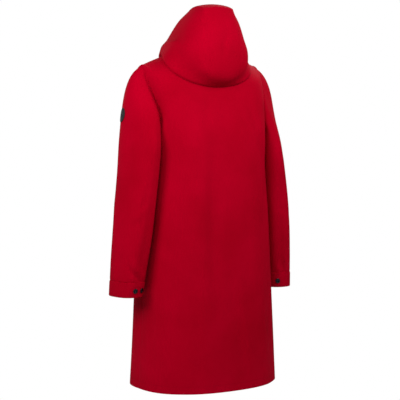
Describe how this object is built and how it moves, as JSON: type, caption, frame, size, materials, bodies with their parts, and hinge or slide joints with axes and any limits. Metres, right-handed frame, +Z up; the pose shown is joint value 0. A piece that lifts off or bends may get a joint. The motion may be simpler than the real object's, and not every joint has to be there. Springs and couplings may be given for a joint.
{
  "type": "waterproof coat",
  "caption": "Knee-length hooded waterproof coat, hollow as if worn, hood up, long sleeves with cuff bands and snaps, zip down the front.",
  "frame": {"origin": "middle of the neck's base, level with the tops of the shoulders, where the wearer carries the coat", "axes": "+Z up, -Y the way the wearer faces, +X the wearer's left"},
  "size_m": [0.5968, 0.318, 1.1034],
  "materials": {
    "coat_cloth": "matt bonded waterproof cloth",
    "zip_cloth": "woven zip tape",
    "zip_plastic": "moulded zip teeth",
    "dark_metal": "dark nickel, satin",
    "badge_rubber": "matt moulded rubber"
  },
  "bodies": {
    "coat": {"back": "coat_cloth", "front_left": "coat_cloth", "front_right": "coat_cloth", "sleeve_left": "coat_cloth", "sleeve_right": "coat_cloth", "cuff_left": "coat_cloth", "cuff_right": "coat_cloth", "hood_left": "coat_cloth", "hood_right": "coat_cloth", "hood_centre": "coat_cloth", "zip_tape": "zip_cloth", "zip_teeth": "zip_plastic", "zip_slider": "dark_metal", "snap_left_1": "dark_metal", "snap_left_2": "dark_metal", "snap_right_1": "dark_metal", "snap_right_2": "dark_metal", "badge": "badge_rubber"},
    "pull": {"zip_pull": "dark_metal"}
  },
  "joints": [
    {"name": "zip_pull_swing", "type": "hinge", "parent": "coat", "child": "pull", "pos_m": [0, -0.12051, -0.09568], "axis": [-1, 0, 0], "range_deg": [0, 150]}
  ]
}
